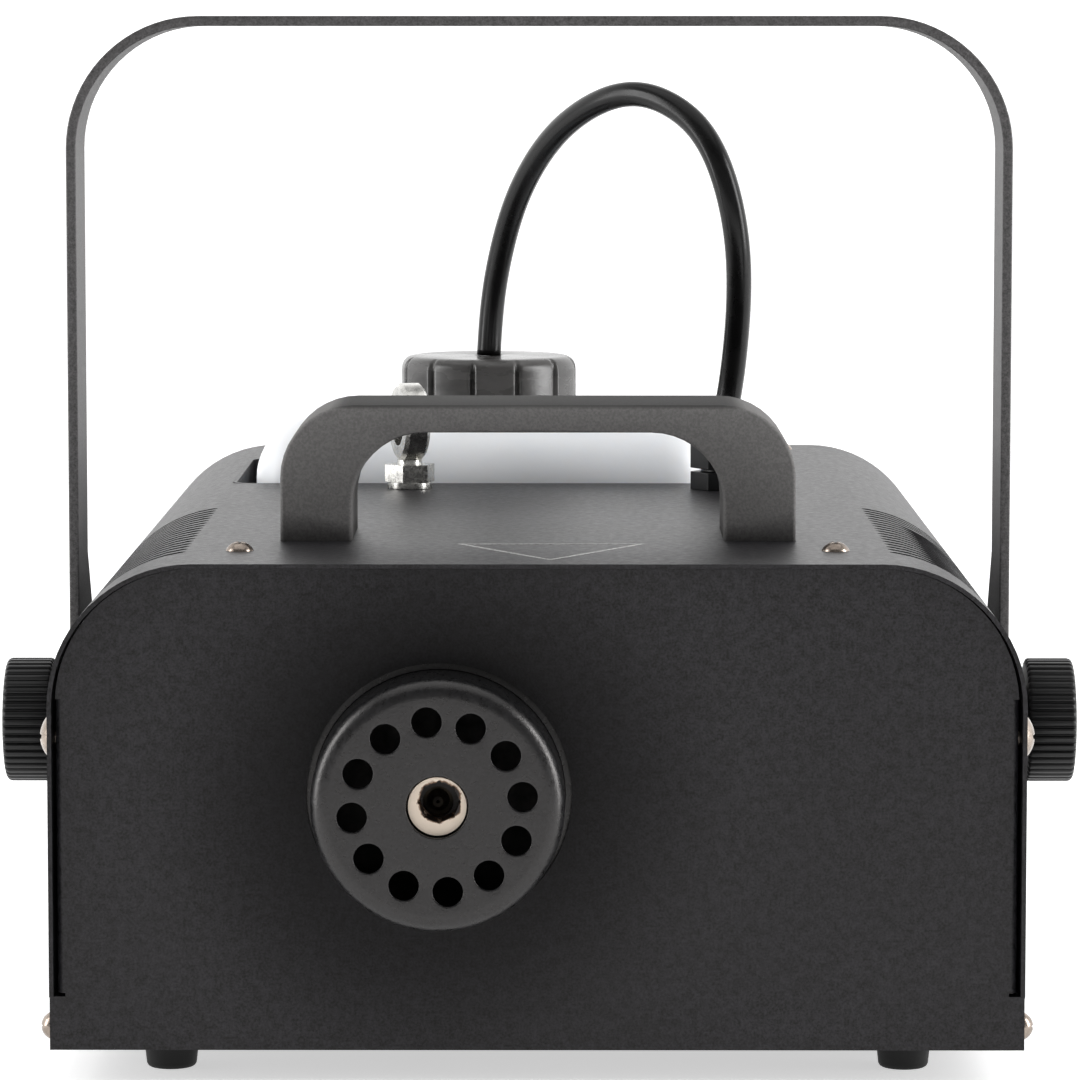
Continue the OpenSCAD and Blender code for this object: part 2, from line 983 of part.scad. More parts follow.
module dmx_in() {
  color("black")
    translate([dmx_in_x, 0, 0])
      union() {
        socket_shell(1.6)
          at(0, rear_panel_y - 12, dmx_z)
            rod_y(9.2, 30);
        for (a = [90, 210, 330])
          at(3.8 * cos(a), rear_panel_y - 12.5, dmx_z + 3.8 * sin(a))
            rod_y(1.2, 10, $fn = 24);
      }
}

module dmx_out() {
  color("black")
    translate([dmx_out_x, 0, 0])
      union() {
        socket_shell(1.6)
          at(0, rear_panel_y - 12, dmx_z)
            rod_y(9.2, 30);
        difference() {
          at(0, rear_panel_y - 12.5, dmx_z)
            rod_y(7.6, 12.5 + plate_t + 1.6);
          for (a = [30, 150, 270])
            at(3.8 * cos(a), rear_panel_y - 8, dmx_z + 3.8 * sin(a))
              rod_y(1.3, 30, $fn = 24);
        }
      }
}

module rear_screws() {
  color("silver")
    union() {
      for (x = [-100, 0, 100])
        rear_screw(x, rear_face_y, 17);
      for (x = [-20, 20])
        rear_screw(inlet_x + x, rear_face_y + 4, inlet_z + 9);
      for (x = [dmx_in_x, dmx_out_x])
        for (turn = [-1, 1])
          rear_screw(x + turn * 9.5, rear_face_y + 1.6, dmx_z - turn * 12);
    }
}

module rear_screw(x, y, z) {
  at(x, y, z)
    rotate([-90, 0, 0])
      pan_screw(2.8, 0.9, 1.5, 8);
}

// ---- hoses and fittings --------------------------------------------------------------------

module inlet_hose() {
  color("black")
    tube(inlet_route, hose_d / 2, 10, [1, 0, 0]);
}

module pressure_tube() {
  color("sandybrown")
    tube(pressure_route, 2, 8, [1, 1, -1]);
}

module fluid_hose() {
  color("black")
    tube(hose_route, hose_d / 2, 12, [0.72, 0.69, 0]);
}

module gland_body() {
  hex_h = 5.7;
  color("black")
    difference() {
      union() {
        at(gland_x, gland_y, top_z)
          hex_z(19, hex_h);
        at(gland_x, gland_y, top_z - 9)
          cylinder(r = 7.5, h = hex_h + 16);
      }
      at(gland_x, gland_y, top_z - 10)
        cylinder(r = gland_bore_r, h = 40);
    }
}

module gland_nut() {
  low_z = top_z + 6.8;
  color("black")
    at(gland_x, gland_y, 0)
      difference() {
        union() {
          translate([0, 0, low_z])
            hex_z(19, 10.5);
          translate([0, 0, low_z + 10.5])
            cylinder(r1 = 9.2, r2 = 6.6, h = gland_top_z - low_z - 10.5);
        }
        translate([0, 0, low_z - 1])
          cylinder(r = 7.6, h = top_z + 5.7 + 7 - low_z + 1.3);
        cylinder(r = gland_bore_r, h = 300);
      }
}

module gland_locknut() {
  color("black")
    at(gland_x, gland_y, under_top_z - 5)
      difference() {
        hex_z(18, 5);
        translate([0, 0, -1])
          cylinder(r = 7.6, h = 10);
      }
}

module eye_bolt() {
  nut_h = 5.6;
  washer_h = 2.2;
  ring_w = 8;
  ring_z = eye_top_z - eye_d / 2;
  color("silver")
    at(eye_x, eye_y, 0)
      rotate([0, 0, eye_turn])
        difference() {
          union() {
            translate([-ring_w / 2, 0, ring_z])
              rotate([0, 90, 0])
                rotate_extrude()
                  polygon([[0, 0], [eye_d / 2 - 1.2, 0], [eye_d / 2, 1.2], [eye_d / 2, ring_w - 1.2],
                           [eye_d / 2 - 1.2, ring_w], [0, ring_w]]);
            translate([0, 0, top_z + washer_h])
              hex_z(14.2, nut_h);
            translate([0, 0, top_z - 12])
              cylinder(r = 4, h = ring_z - top_z);
          }
          translate([-ring_w, 0, ring_z])
            rod_x(eye_hole_d / 2, 2 * ring_w);
        }
}

module eye_washer() {
  color("silver")
    at(eye_x, eye_y, top_z)
      ring_z(7.3, 4.1, 2.2);
}

module eye_nut() {
  color("silver")
    at(eye_x, eye_y, under_top_z - 6.5)
      difference() {
        hex_z(13, 6.5);
        translate([0, 0, -1])
          cylinder(r = 4.05, h = 10);
      }
}

// ---- handle, screws and feet ---------------------------------------------------------------

module handle() {
  window_w = handle_w - 2 * leg_w;
  color("dimgray")
    difference() {
      at(0, handle_y, top_z)
        along_y(handle_d)
          difference() {
            arch(handle_w / 2, -4, handle_h, handle_outer_r);
            arch(window_w / 2, -5, handle_h - handle_bar_t, handle_inner_r);
          }
      // the legs are cut off level with the top face
      at(-handle_w / 2 - 1, handle_y - 1, top_z - 6)
        cube([handle_w + 2, handle_d + 2, 6]);
      for (side = [-1, 1])
        for (y = [handle_y + 9, handle_y + handle_d - 9])
          at(side * (handle_w - leg_w) / 2, y, top_z - 1)
            cylinder(r = 2.6, h = 13);
    }
}

module handle_screws() {
  color("silver")
    for (side = [-1, 1])
      for (y = [handle_y + 9, handle_y + handle_d - 9])
        at(side * (handle_w - leg_w) / 2, y, under_top_z)
          mirror([0, 0, 1])
            pan_screw(4.6, 3.2, 2.5, 11);
}

module top_screws() {
  color("silver")
    for (side = [-1, 1])
      for (y = [top_screw_y, rear_top_screw_y])
        at(side * top_screw_x, y, top_z)
          pan_screw(4, 2.6, 2, 8);
}

module side_screws() {
  color("silver")
    for (side = [-1, 1])
      for (y = [side_screw_y, rear_screw_y])
        at(side * half_w, y, side_screw_z)
          rotate([0, side * 90, 0])
            pan_screw(4, 3.2, 2, 8);
}

module dome_screws() {
  color("silver")
    for (side = [-1, 1])
      at(side * half_w, dome_screw_y, dome_screw_z)
        rotate([0, side * 90, 0])
          pan_screw(6.75, 3.3, 3, 12);
}

module feet() {
  color("black")
    for (x = [-foot_x, foot_x])
      for (y = [foot_y, rear_foot_y])
        at(x, y, 0)
          rotate_extrude()
            polygon([[2.3, 2.5], [4.6, 2.5], [4.6, 0], [6.2, 0], [7, 0.8], [7.9, base_z], [2.3, base_z]]);
}

module foot_screws() {
  color("silver")
    for (x = [-foot_x, foot_x])
      for (y = [foot_y, rear_foot_y])
        at(x, y, 2.5)
          mirror([0, 0, 1])
            pan_screw(4, 2, 2, base_z + 3);
}

// ---- yoke ----------------------------------------------------------------------------------

module yoke() {
  end_y = bar_y + end_r;
  color("dimgray")
    difference() {
      union() {
        at(0, bar_y, 0)
          along_y(bar_w)
            difference() {
              arch(yoke_w / 2, flare_z, yoke_top_z, yoke_r);
              arch(arm_in_x, flare_z - 1, yoke_top_z - bar_t, yoke_inner_r);
            }
        for (side = [-1, 1])
          at(side > 0 ? arm_in_x : -yoke_w / 2, 0, 0)
            along_x(bar_t)
              union() {
                polygon([[bar_y, pivot_z], [2 * end_r + bar_y, pivot_z], [2 * end_r + bar_y, flare_low_z],
                         [bar_y + bar_w, flare_z + eps], [bar_y, flare_z + eps]]);
                translate([end_y, pivot_z])
                  circle(end_r);
              }
      }
      at(-yoke_w, pivot_y, pivot_z)
        rod_x(pivot_bore_r, 2 * yoke_w);
      at(0, bar_y + bar_w / 2, yoke_top_z - 2 * bar_t)
        cylinder(r = clamp_hole_r, h = 20);
    }
}

module yoke_spacers() {
  color("black")
    for (side = [-1, 1])
      at(side > 0 ? half_w : -arm_in_x + spacer_gap, pivot_y, pivot_z)
        ring_x(12, stud_r + 0.3, arm_in_x - half_w - spacer_gap);
}

module pivot_nuts() {
  nut_l = 9;
  color("silver")
    for (side = [-1, 1])
      at(side > 0 ? inner_half_w - nut_l : -inner_half_w, pivot_y, pivot_z)
        difference() {
          union() {
            rotate([0, 90, 0])
              hex_z(13, nut_l);
            translate([side > 0 ? nut_l - 2 : 0, 0, 0])
              rod_x(11, 2);
          }
          translate([-1, 0, 0])
            rod_x(pivot_bore_r, nut_l + 2);
        }
}

module knob_washers() {
  color("silver")
    for (side = [-1, 1])
      at(side > 0 ? yoke_w / 2 : -yoke_w / 2 - washer_t, pivot_y, pivot_z)
        ring_x(10, stud_r + 0.3, washer_t);
}

// A ribbed knob on a threaded stud, pointing outwards along +X from the middle of the housing
module knob() {
  collar_x = yoke_w / 2 + washer_t + 0.1;
  head_l = knob_out_x - knob_in_x;
  rib_r = 0.9;
  edge = 1;
  core_r = knob_d / 2 - 0.8;
  union() {
    translate([knob_in_x, 0, 0])
      rotate([0, 90, 0]) {
        linear_extrude(head_l - edge)
          union() {
            circle(core_r);
            for (i = [0 : knob_ribs - 1])
              rotate(i * 360 / knob_ribs)
                translate([knob_d / 2 - rib_r, 0])
                  circle(rib_r, $fn = 16);
          }
        translate([0, 0, head_l - edge])
          cylinder(r1 = core_r, r2 = core_r - edge, h = edge);
      }
    translate([collar_x, 0, 0])
      rod_x(10.5, knob_in_x - collar_x + eps);
    translate([inner_half_w - 12, 0, 0])
      rod_x(stud_r, collar_x - inner_half_w + 12 + eps);
  }
}

module knob_right() {
  color("black")
    at(0, pivot_y, pivot_z)
      knob();
}

module knob_left() {
  color("black")
    at(0, pivot_y, pivot_z)
      mirror([1, 0, 0])
        knob();
}

// ---- tank ----------------------------------------------------------------------------------

// The tank's outside, or with inset the space inside it
module tank_form(inset) {
  w = tank_w - 2 * inset;
  d = tank_d - 2 * inset;
  low = tank_base_z + inset;
  high = tank_top_z - inset;
  intersection() {
    at(tank_x, tank_y, low)
      linear_extrude(high - low)
        rounded(w, d, tank_plan_r - inset);
    at(tank_x, tank_y - d / 2, 0)
      along_y(d)
        arch(w / 2, low, high, tank_top_r - inset);
    at(tank_x - w / 2, tank_y, 0)
      along_x(w)
        arch(d / 2, low, high, tank_side_r - inset);
  }
}

module tank() {
  color("whitesmoke")
    difference() {
      union() {
        tank_form(0);
        at(cap_x, cap_y, tank_top_z - 1)
          cylinder(r = neck_r, h = neck_top_z - tank_top_z + 1);
      }
      tank_form(tank_wall);
      at(cap_x, cap_y, tank_top_z - 10)
        cylinder(r = neck_bore_r, h = 40);
    }
}

module tank_cap() {
  groove_r = 1.6;
  first_angle = 5;
  color("black")
    at(cap_x, cap_y, 0)
      difference() {
        rotate_extrude($fn = 96)
          polygon([[cap_hole_r, cap_low_z], [cap_d / 2, cap_low_z], [cap_d / 2, cap_top_z - 2.5],
                   [cap_d / 2 - 0.8, cap_top_z - 0.8], [cap_d / 2 - 2.5, cap_top_z], [cap_hole_r, cap_top_z]]);
        translate([0, 0, cap_low_z - 1])
          cylinder(r = cap_bore_r, h = neck_top_z + seal_t + 0.3 - cap_low_z + 1);
        for (i = [0 : cap_grooves - 1])
          rotate([0, 0, first_angle + (i + 0.5) * 360 / cap_grooves])
            translate([cap_d / 2 + 0.5, 0, cap_low_z - 1])
              cylinder(r = groove_r, h = 30, $fn = 24);
      }
}

module cap_seal() {
  color("dimgray")
    at(cap_x, cap_y, neck_top_z + 0.3)
      ring_z(neck_r, 18, seal_t);
}

module pickup_tube() {
  color("black")
    at(cap_x, cap_y, pickup_low_z)
      cylinder(r = hose_d / 2, h = cap_top_z - 0.4 - pickup_low_z);
}

module pickup_filter() {
  filter_h = 22;
  color("ivory")
    at(cap_x, cap_y, pickup_low_z - filter_h)
      cylinder(r = 7, h = filter_h);
}

// ---- output --------------------------------------------------------------------------------

chassis();
cover();
rear_panel();
tank_well();
heat_guard();
nozzle_insulator();
nozzle();
heater_block();
heater_insulation();
heater_case();
heater_legs();
thermostat();
thermal_fuse();
pump_body();
pump_coil();
pump_bracket();
pump_mounts();
control_board();
board_parts();
board_standoffs();
display_board();
inlet_hose();
pressure_tube();
fluid_hose();
gland_body();
gland_nut();
gland_locknut();
eye_bolt();
eye_washer();
eye_nut();
handle();
handle_screws();
top_screws();
side_screws();
dome_screws();
feet();
foot_screws();
yoke();
yoke_spacers();
pivot_nuts();
knob_washers();
knob_left();
knob_right();
tank();
tank_cap();
cap_seal();
pickup_tube();
pickup_filter();
power_inlet();
fuse_drawer();
switch_frame();
power_rocker();
dmx_in();
dmx_out();
display_window();
menu_button(0);  // menu_button_1
menu_button(1);  // menu_button_2
menu_button(2);  // menu_button_3
menu_button(3);  // menu_button_4
rear_screws();
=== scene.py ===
"""Looks for the fog machine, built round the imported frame: camera, materials, replaced pieces, floor and light."""
import json
import math

import bpy
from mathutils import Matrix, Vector


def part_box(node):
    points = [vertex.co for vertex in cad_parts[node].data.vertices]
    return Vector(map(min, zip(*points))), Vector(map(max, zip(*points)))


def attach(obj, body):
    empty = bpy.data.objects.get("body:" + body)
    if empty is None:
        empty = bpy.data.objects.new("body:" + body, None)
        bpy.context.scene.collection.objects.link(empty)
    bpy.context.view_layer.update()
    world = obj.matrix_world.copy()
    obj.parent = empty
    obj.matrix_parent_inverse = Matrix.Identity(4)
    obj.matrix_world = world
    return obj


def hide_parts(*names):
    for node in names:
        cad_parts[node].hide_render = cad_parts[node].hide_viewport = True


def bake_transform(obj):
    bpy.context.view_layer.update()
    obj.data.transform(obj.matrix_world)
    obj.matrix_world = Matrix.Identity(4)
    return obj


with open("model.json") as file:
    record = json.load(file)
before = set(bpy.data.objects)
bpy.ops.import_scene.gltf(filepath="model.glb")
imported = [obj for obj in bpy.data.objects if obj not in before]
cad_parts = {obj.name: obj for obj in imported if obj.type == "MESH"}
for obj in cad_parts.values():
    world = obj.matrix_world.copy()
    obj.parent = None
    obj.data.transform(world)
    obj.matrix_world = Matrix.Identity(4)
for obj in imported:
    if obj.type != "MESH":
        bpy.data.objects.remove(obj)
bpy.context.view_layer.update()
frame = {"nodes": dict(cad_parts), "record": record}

MM = 0.001
NODES = frame["nodes"]
RIM_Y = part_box("cover")[0].y
WHITE = (1.0, 1.0, 1.0)
# The insulator's bore, and with it the painted bore shade and the browning, lies off its middle by this much, in
# millimetres.
BORE_SHIFT = (0.5, 0.0, 1.2)


# ---- places --------------------------------------------------------------------------------

def place(x, y, z):
    """A point by x, distance behind the cover's front rim, and height, in millimetres."""
    return Vector((x * MM, RIM_Y + y * MM, z * MM))


def centre(node):
    """The middle of a CAD node's box."""
    low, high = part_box(node)
    return (low + high) / 2


def smoothstep(low, high, value):
    t = min(max((value - low) / (high - low), 0.0), 1.0)
    return t * t * (3 - 2 * t)


# ---- camera --------------------------------------------------------------------------------

CAMERA_AT = Vector((0.0066, -1.6113, 0.2867))
CAMERA_PITCH = math.radians(5.495)
CAMERA_YAW = math.radians(-0.234)
CAMERA_LENS = 172.0


def add_camera():
    data = bpy.data.cameras.new("camera")
    data.lens = CAMERA_LENS
    data.sensor_width = 36.0
    data.clip_end = 100.0
    camera = bpy.data.objects.new("camera", data)
    bpy.context.scene.collection.objects.link(camera)
    aim = Vector((
        math.sin(CAMERA_YAW) * math.cos(CAMERA_PITCH),
        math.cos(CAMERA_YAW) * math.cos(CAMERA_PITCH),
        -math.sin(CAMERA_PITCH),
    ))
    camera.location = CAMERA_AT
    camera.rotation_mode = "QUATERNION"
    camera.rotation_quaternion = aim.to_track_quat("-Z", "Y")
    bpy.context.scene.camera = camera


add_camera()


# ---- node materials ------------------------------------------------------------------------

class Finish:
    """A node material under construction, in the object's own coordinates, in metres."""

    def __init__(self, name, **sockets):
        self.material = bpy.data.materials.new(name)
        self.material.use_nodes = True
        self.tree = self.material.node_tree
        self.bsdf = self.tree.nodes["Principled BSDF"]
        for socket, value in sockets.items():
            self.bsdf.inputs[socket.replace("_", " ")].default_value = value
        self.coords = self.tree.nodes.new("ShaderNodeTexCoord").outputs["Object"]

    def node(self, kind, **values):
        made = self.tree.nodes.new(kind)
        for name, value in values.items():
            setattr(made, name, value)
        return made

    def feed(self, source, target):
        self.tree.links.new(source, target)

    def scaled(self, stretch, shift=(0.0, 0.0, 0.0)):
        """The object's coordinates, stretched along each axis."""
        mapping = self.node("ShaderNodeMapping")
        mapping.inputs["Scale"].default_value = stretch
        mapping.inputs["Location"].default_value = shift
        self.feed(self.coords, mapping.inputs["Vector"])
        return mapping.outputs["Vector"]

    def noise(self, scale, detail=3.0, roughness=0.5, vector=None):
        made = self.node("ShaderNodeTexNoise")
        made.inputs["Scale"].default_value = scale
        made.inputs["Detail"].default_value = detail
        made.inputs["Roughness"].default_value = roughness
        self.feed(vector or self.coords, made.inputs["Vector"])
        return made.outputs["Fac"]

    def cells(self, scale, vector=None):
        made = self.node("ShaderNodeTexVoronoi", feature="F1")
        made.inputs["Scale"].default_value = scale
        self.feed(vector or self.coords, made.inputs["Vector"])
        return made.outputs["Distance"]

    def ramp(self, source, *stops):
        """Colours at places from 0 to 1: (place, (red, green, blue)) each."""
        made = self.node("ShaderNodeValToRGB")
        elements = made.color_ramp.elements
        while len(elements) < len(stops):
            elements.new(0.5)
        for element, (where, colour) in zip(elements, stops):
            element.position = where
            element.color = (*colour, 1.0)
        self.feed(source, made.inputs["Fac"])
        return made.outputs["Color"]

    def span(self, source, low, high, start=0.3, end=0.7):
        """source, from start to end, turned into a number from low to high."""
        made = self.node("ShaderNodeMapRange")
        for socket, value in (("From Min", start), ("From Max", end), ("To Min", low), ("To Max", high)):
            made.inputs[socket].default_value = value
        self.feed(source, made.inputs["Value"])
        return made.outputs["Result"]

    def blend(self, factor, first, second, mode="MIX"):
        """Two colours mixed by a factor, a socket or a number."""
        made = self.node("ShaderNodeMix", data_type="RGBA", blend_type=mode)
        if isinstance(factor, float):
            made.inputs["Factor"].default_value = factor
        else:
            self.feed(factor, made.inputs["Factor"])
        for socket, value in ((made.inputs[6], first), (made.inputs[7], second)):
            if isinstance(value, tuple):
                socket.default_value = (*value, 1.0)
            else:
                self.feed(value, socket)
        return made.outputs[2]

    def maths(self, operation, first, second=0.0):
        made = self.node("ShaderNodeMath", operation=operation)
        for socket, value in zip(made.inputs, (first, second)):
            if isinstance(value, (int, float)):
                socket.default_value = value
            else:
                self.feed(value, socket)
        return made.outputs["Value"]

    def colour(self, source):
        self.feed(source, self.bsdf.inputs["Base Color"])

    def rough(self, source):
        self.feed(source, self.bsdf.inputs["Roughness"])

    def bump(self, source, distance, strength=1.0):
        """Raises the surface by up to distance where source is 1."""
        made = self.node("ShaderNodeBump")
        made.inputs["Distance"].default_value = distance
        made.inputs["Strength"].default_value = strength
        self.feed(source, made.inputs["Height"])
        last = self.bsdf.inputs["Normal"].links
        if last:
            self.feed(last[0].from_socket, made.inputs["Normal"])
        self.feed(made.outputs["Normal"], self.bsdf.inputs["Normal"])


def axis_distance(look, middle):
    """Distance from an axis along Y through a point."""
    at_axis = look.scaled((1.0, 0.0, 1.0), (-middle.x, 0.0, -middle.z))
    length = look.node("ShaderNodeVectorMath", operation="LENGTH")
    look.feed(at_axis, length.inputs[0])
    return length.outputs["Value"]


def shaded(look, source, paint, black, distance, start, end, strongest):
    """Painted shade: paint that goes black from one distance to another, and loses its shine with it."""
    shade = look.node("ShaderNodeMapRange", interpolation_type="SMOOTHSTEP")
    at_start, at_end = strongest
    for socket, value in (("From Min", start), ("From Max", end), ("To Min", at_start), ("To Max", at_end)):
        shade.inputs[socket].default_value = value
    look.feed(distance, shade.inputs["Value"])
    shine = look.span(shade.outputs["Result"], source, 0.3 * source, 0.0, 1.0)
    look.feed(shine, look.bsdf.inputs["Specular IOR Level"])
    return look.blend(shade.outputs["Result"], paint, black)


def powder_coat(name, dark, light, roughness, grain, depth, specular=0.5, painted_shade=None):
    """Baked powder paint: a fine speckle, broad uneven patches and an orange-peel surface.

    painted_shade is (start, end, shade at start, shade at end): painted shade that darkens the paint with the
    distance from the outlet's axis."""
    look = Finish(name, Specular_IOR_Level=specular, Specular_Tint=(1.0, 0.965, 0.95, 1.0))
    fine = look.noise(grain, 3.0, 0.7)
    coarse = look.noise(grain * 0.35, 2.0, 0.6)
    patches = look.noise(9.0, 3.0, 0.5)
    speckle = look.blend(0.35, fine, coarse)
    paint = look.ramp(speckle, (0.38, dark), (0.62, light))
    patchy_paint_and_shade = look.blend(look.span(patches, 0.0, 0.25), paint, tuple(0.6 * c for c in dark))
    # Painted shade that changes with the distance from the outlet's axis.
    if painted_shade:
        wavy = look.maths("ADD", axis_distance(look, centre("heat_guard")), look.span(patches, -0.004, 0.004))
        black = tuple(0.25 * c for c in dark)
        patchy_paint_and_shade = shaded(look, specular, patchy_paint_and_shade, black, wavy, painted_shade[0], painted_shade[1], painted_shade[2:])
    look.colour(patchy_paint_and_shade)
    look.rough(look.span(coarse, roughness - 0.05, roughness + 0.06))
    look.bump(speckle, depth)
    return look.material


def moulded_plastic(name, dark, light, roughness, specular=0.5):
    """Moulded plastic: near-even colour with faint flow marks and a fine grained surface."""
    look = Finish(name, Specular_IOR_Level=specular)
    flow = look.noise(1.0, 3.0, 0.55, look.scaled((60.0, 60.0, 180.0)))
    fine = look.noise(1500.0, 2.0, 0.6)
    look.colour(look.ramp(flow, (0.3, dark), (0.7, light)))
    look.rough(look.span(flow, roughness - 0.06, roughness + 0.06))
    look.bump(fine, 0.00002)
    return look.material


def grained_plastic(name, dark, light, painted_top_shade):
    """The handle's grained plastic, with painted shade along its top: a darker tone there."""
    look = Finish(name, Specular_IOR_Level=0.08)
    grain = look.noise(1500.0, 2.0, 0.6)
    speckle = look.ramp(grain, (0.35, dark), (0.65, light))
    height = look.node("ShaderNodeSeparateXYZ")
    look.feed(look.coords, height.inputs[0])
    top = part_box("handle")[1].z
    upper = look.span(height.outputs["Z"], 0.0, 1.0, top - 1.2 * MM, top - 0.1 * MM)
    look.colour(look.blend(upper, speckle, painted_top_shade))
    look.rough(look.span(grain, 0.68, 0.78))
    look.bump(grain, 0.00005)
    return look.material


def plated_metal(name, dark, light, roughness, cast=0.0, streak=(900.0, 900.0, 900.0)):
    """Plated or bare metal with uneven tone, fine scratches and, where cast, a lumpy surface."""
    look = Finish(name, Metallic=1.0)
    cloud = look.noise(220.0, 4.0, 0.6)
    scratch = look.noise(1.0, 2.0, 0.5, look.scaled(streak))
    look.colour(look.ramp(cloud, (0.32, dark), (0.68, light)))
    look.rough(look.span(scratch, roughness - 0.08, roughness + 0.12))
    look.bump(scratch, 0.000015)
    if cast:
        look.bump(look.noise(600.0, 3.0, 0.6), cast)
    return look.material


def soft_rubber(name, dark, light, roughness, depth=0.00003):
    """Rubber: deep even black with a faint bloom and a very fine texture."""
    look = Finish(name, Specular_IOR_Level=0.25)
    bloom = look.noise(70.0, 4.0, 0.6)
    look.colour(look.ramp(bloom, (0.3, dark), (0.75, light)))
    look.rough(look.span(bloom, roughness - 0.05, roughness + 0.08))
    look.bump(look.noise(1100.0, 3.0, 0.6), depth)
    return look.material


def blown_tank():
    """Translucent blow-moulded polyethylene, milky with a cool cast and faint thickness clouds."""
    look = Finish("tank_plastic", Roughness=0.34, Subsurface_Weight=0.8, Subsurface_Scale=0.02,
                  Subsurface_Radius=(1.0, 0.95, 0.9), Specular_IOR_Level=0.5)
    cloud = look.noise(22.0, 3.0, 0.5)
    fine = look.noise(420.0, 2.0, 0.5)
    look.colour(look.ramp(cloud, (0.25, (0.80, 0.82, 0.85)), (0.8, (0.88, 0.895, 0.92))))
    look.bump(fine, 0.00003)
    return look.material


def scorched_and_shaded_ceramic():
    """Cream insulator, browned towards its bore, and near black round the bore as painted shade of the hole."""
    look = Finish("insulator", Roughness=0.62)
    bore = centre("nozzle_insulator") + Vector(BORE_SHIFT) * MM
    uneven = look.span(look.noise(260.0, 3.0, 0.6), -0.0007, 0.0007)
    distance = look.maths("ADD", axis_distance(look, bore), uneven)
    ring = look.span(distance, 0.0, 1.0, 0.0047, 0.0085)
    # Near black out to about 5.5 mm from the bore's middle is painted shade of the bore; from there it browns to
    # cream by about 6.1 mm as scorch.
    cream = look.ramp(ring, (0.0, (0.010, 0.006, 0.004)), (0.20, (0.016, 0.009, 0.006)),
                      (0.28, (0.20, 0.11, 0.06)), (0.37, (0.78, 0.66, 0.54)), (1.0, (0.74, 0.63, 0.52)))
    look.colour(cream)
    look.bump(look.noise(900.0, 3.0, 0.6), 0.00006)
    return look.material


def sooty_and_shaded_metal(name, dark, light):
    """Near-black metal with a few lighter patches: scorch and fog residue on the brass, painted shade on the heater
    case.
    """
    look = Finish(name, Metallic=0.6, Roughness=0.7)
    blotches = look.noise(180.0, 4.0, 0.6)
    look.colour(look.ramp(blotches, (0.3, dark), (0.75, light)))
    look.rough(look.span(blotches, 0.8, 0.55))
    look.bump(look.noise(1400.0, 3.0, 0.6), 0.00003)
    return look.material


def printed_line():
    """Thin pale screen print, slightly broken up."""
    look = Finish("print", Roughness=0.6)
    gaps = look.noise(900.0, 2.0, 0.6)
    look.colour(look.ramp(gaps, (0.35, (0.22, 0.215, 0.21)), (0.6, (0.55, 0.545, 0.535))))
    return look.material


def mineral_wool():
    look = Finish("wool", Roughness=0.95)
    fibre = look.noise(1.0, 5.0, 0.7, look.scaled((300.0, 1400.0, 300.0)))
    look.colour(look.ramp(fibre, (0.3, (0.55, 0.46, 0.30)), (0.7, (0.84, 0.76, 0.58))))
    look.bump(fibre, 0.0006)
    return look.material


def smoked_window():
    look = Finish("display", Roughness=0.08, Coat_Weight=0.4)
    haze = look.noise(40.0, 2.0, 0.5)
    look.colour(look.ramp(haze, (0.3, (0.006, 0.008, 0.012)), (0.7, (0.012, 0.016, 0.022))))
    look.rough(look.span(haze, 0.05, 0.14))
    return look.material


def circuit_board():
    look = Finish("board", Roughness=0.35)
    lanes = look.cells(320.0)
    tint = look.noise(90.0, 3.0, 0.5)
    green = look.ramp(tint, (0.3, (0.006, 0.060, 0.020)), (0.7, (0.012, 0.100, 0.036)))
    look.colour(look.blend(look.span(lanes, 0.5, 0.0, 0.0, 0.2), green, (0.10, 0.20, 0.06)))
    look.bump(lanes, 0.00004)
    return look.material


PAINT_DARK = (0.001, 0.001, 0.0012)
PAINT_LIGHT = (0.030, 0.0295, 0.0335)
GUARD_LIGHT = (0.012, 0.012, 0.0132)
PAINT_ROUGHNESS = 0.42
PAINT_GRAIN = 1400.0
PAINT_DEPTH = 0.08 * MM
PAINT_SHINE = 0.28


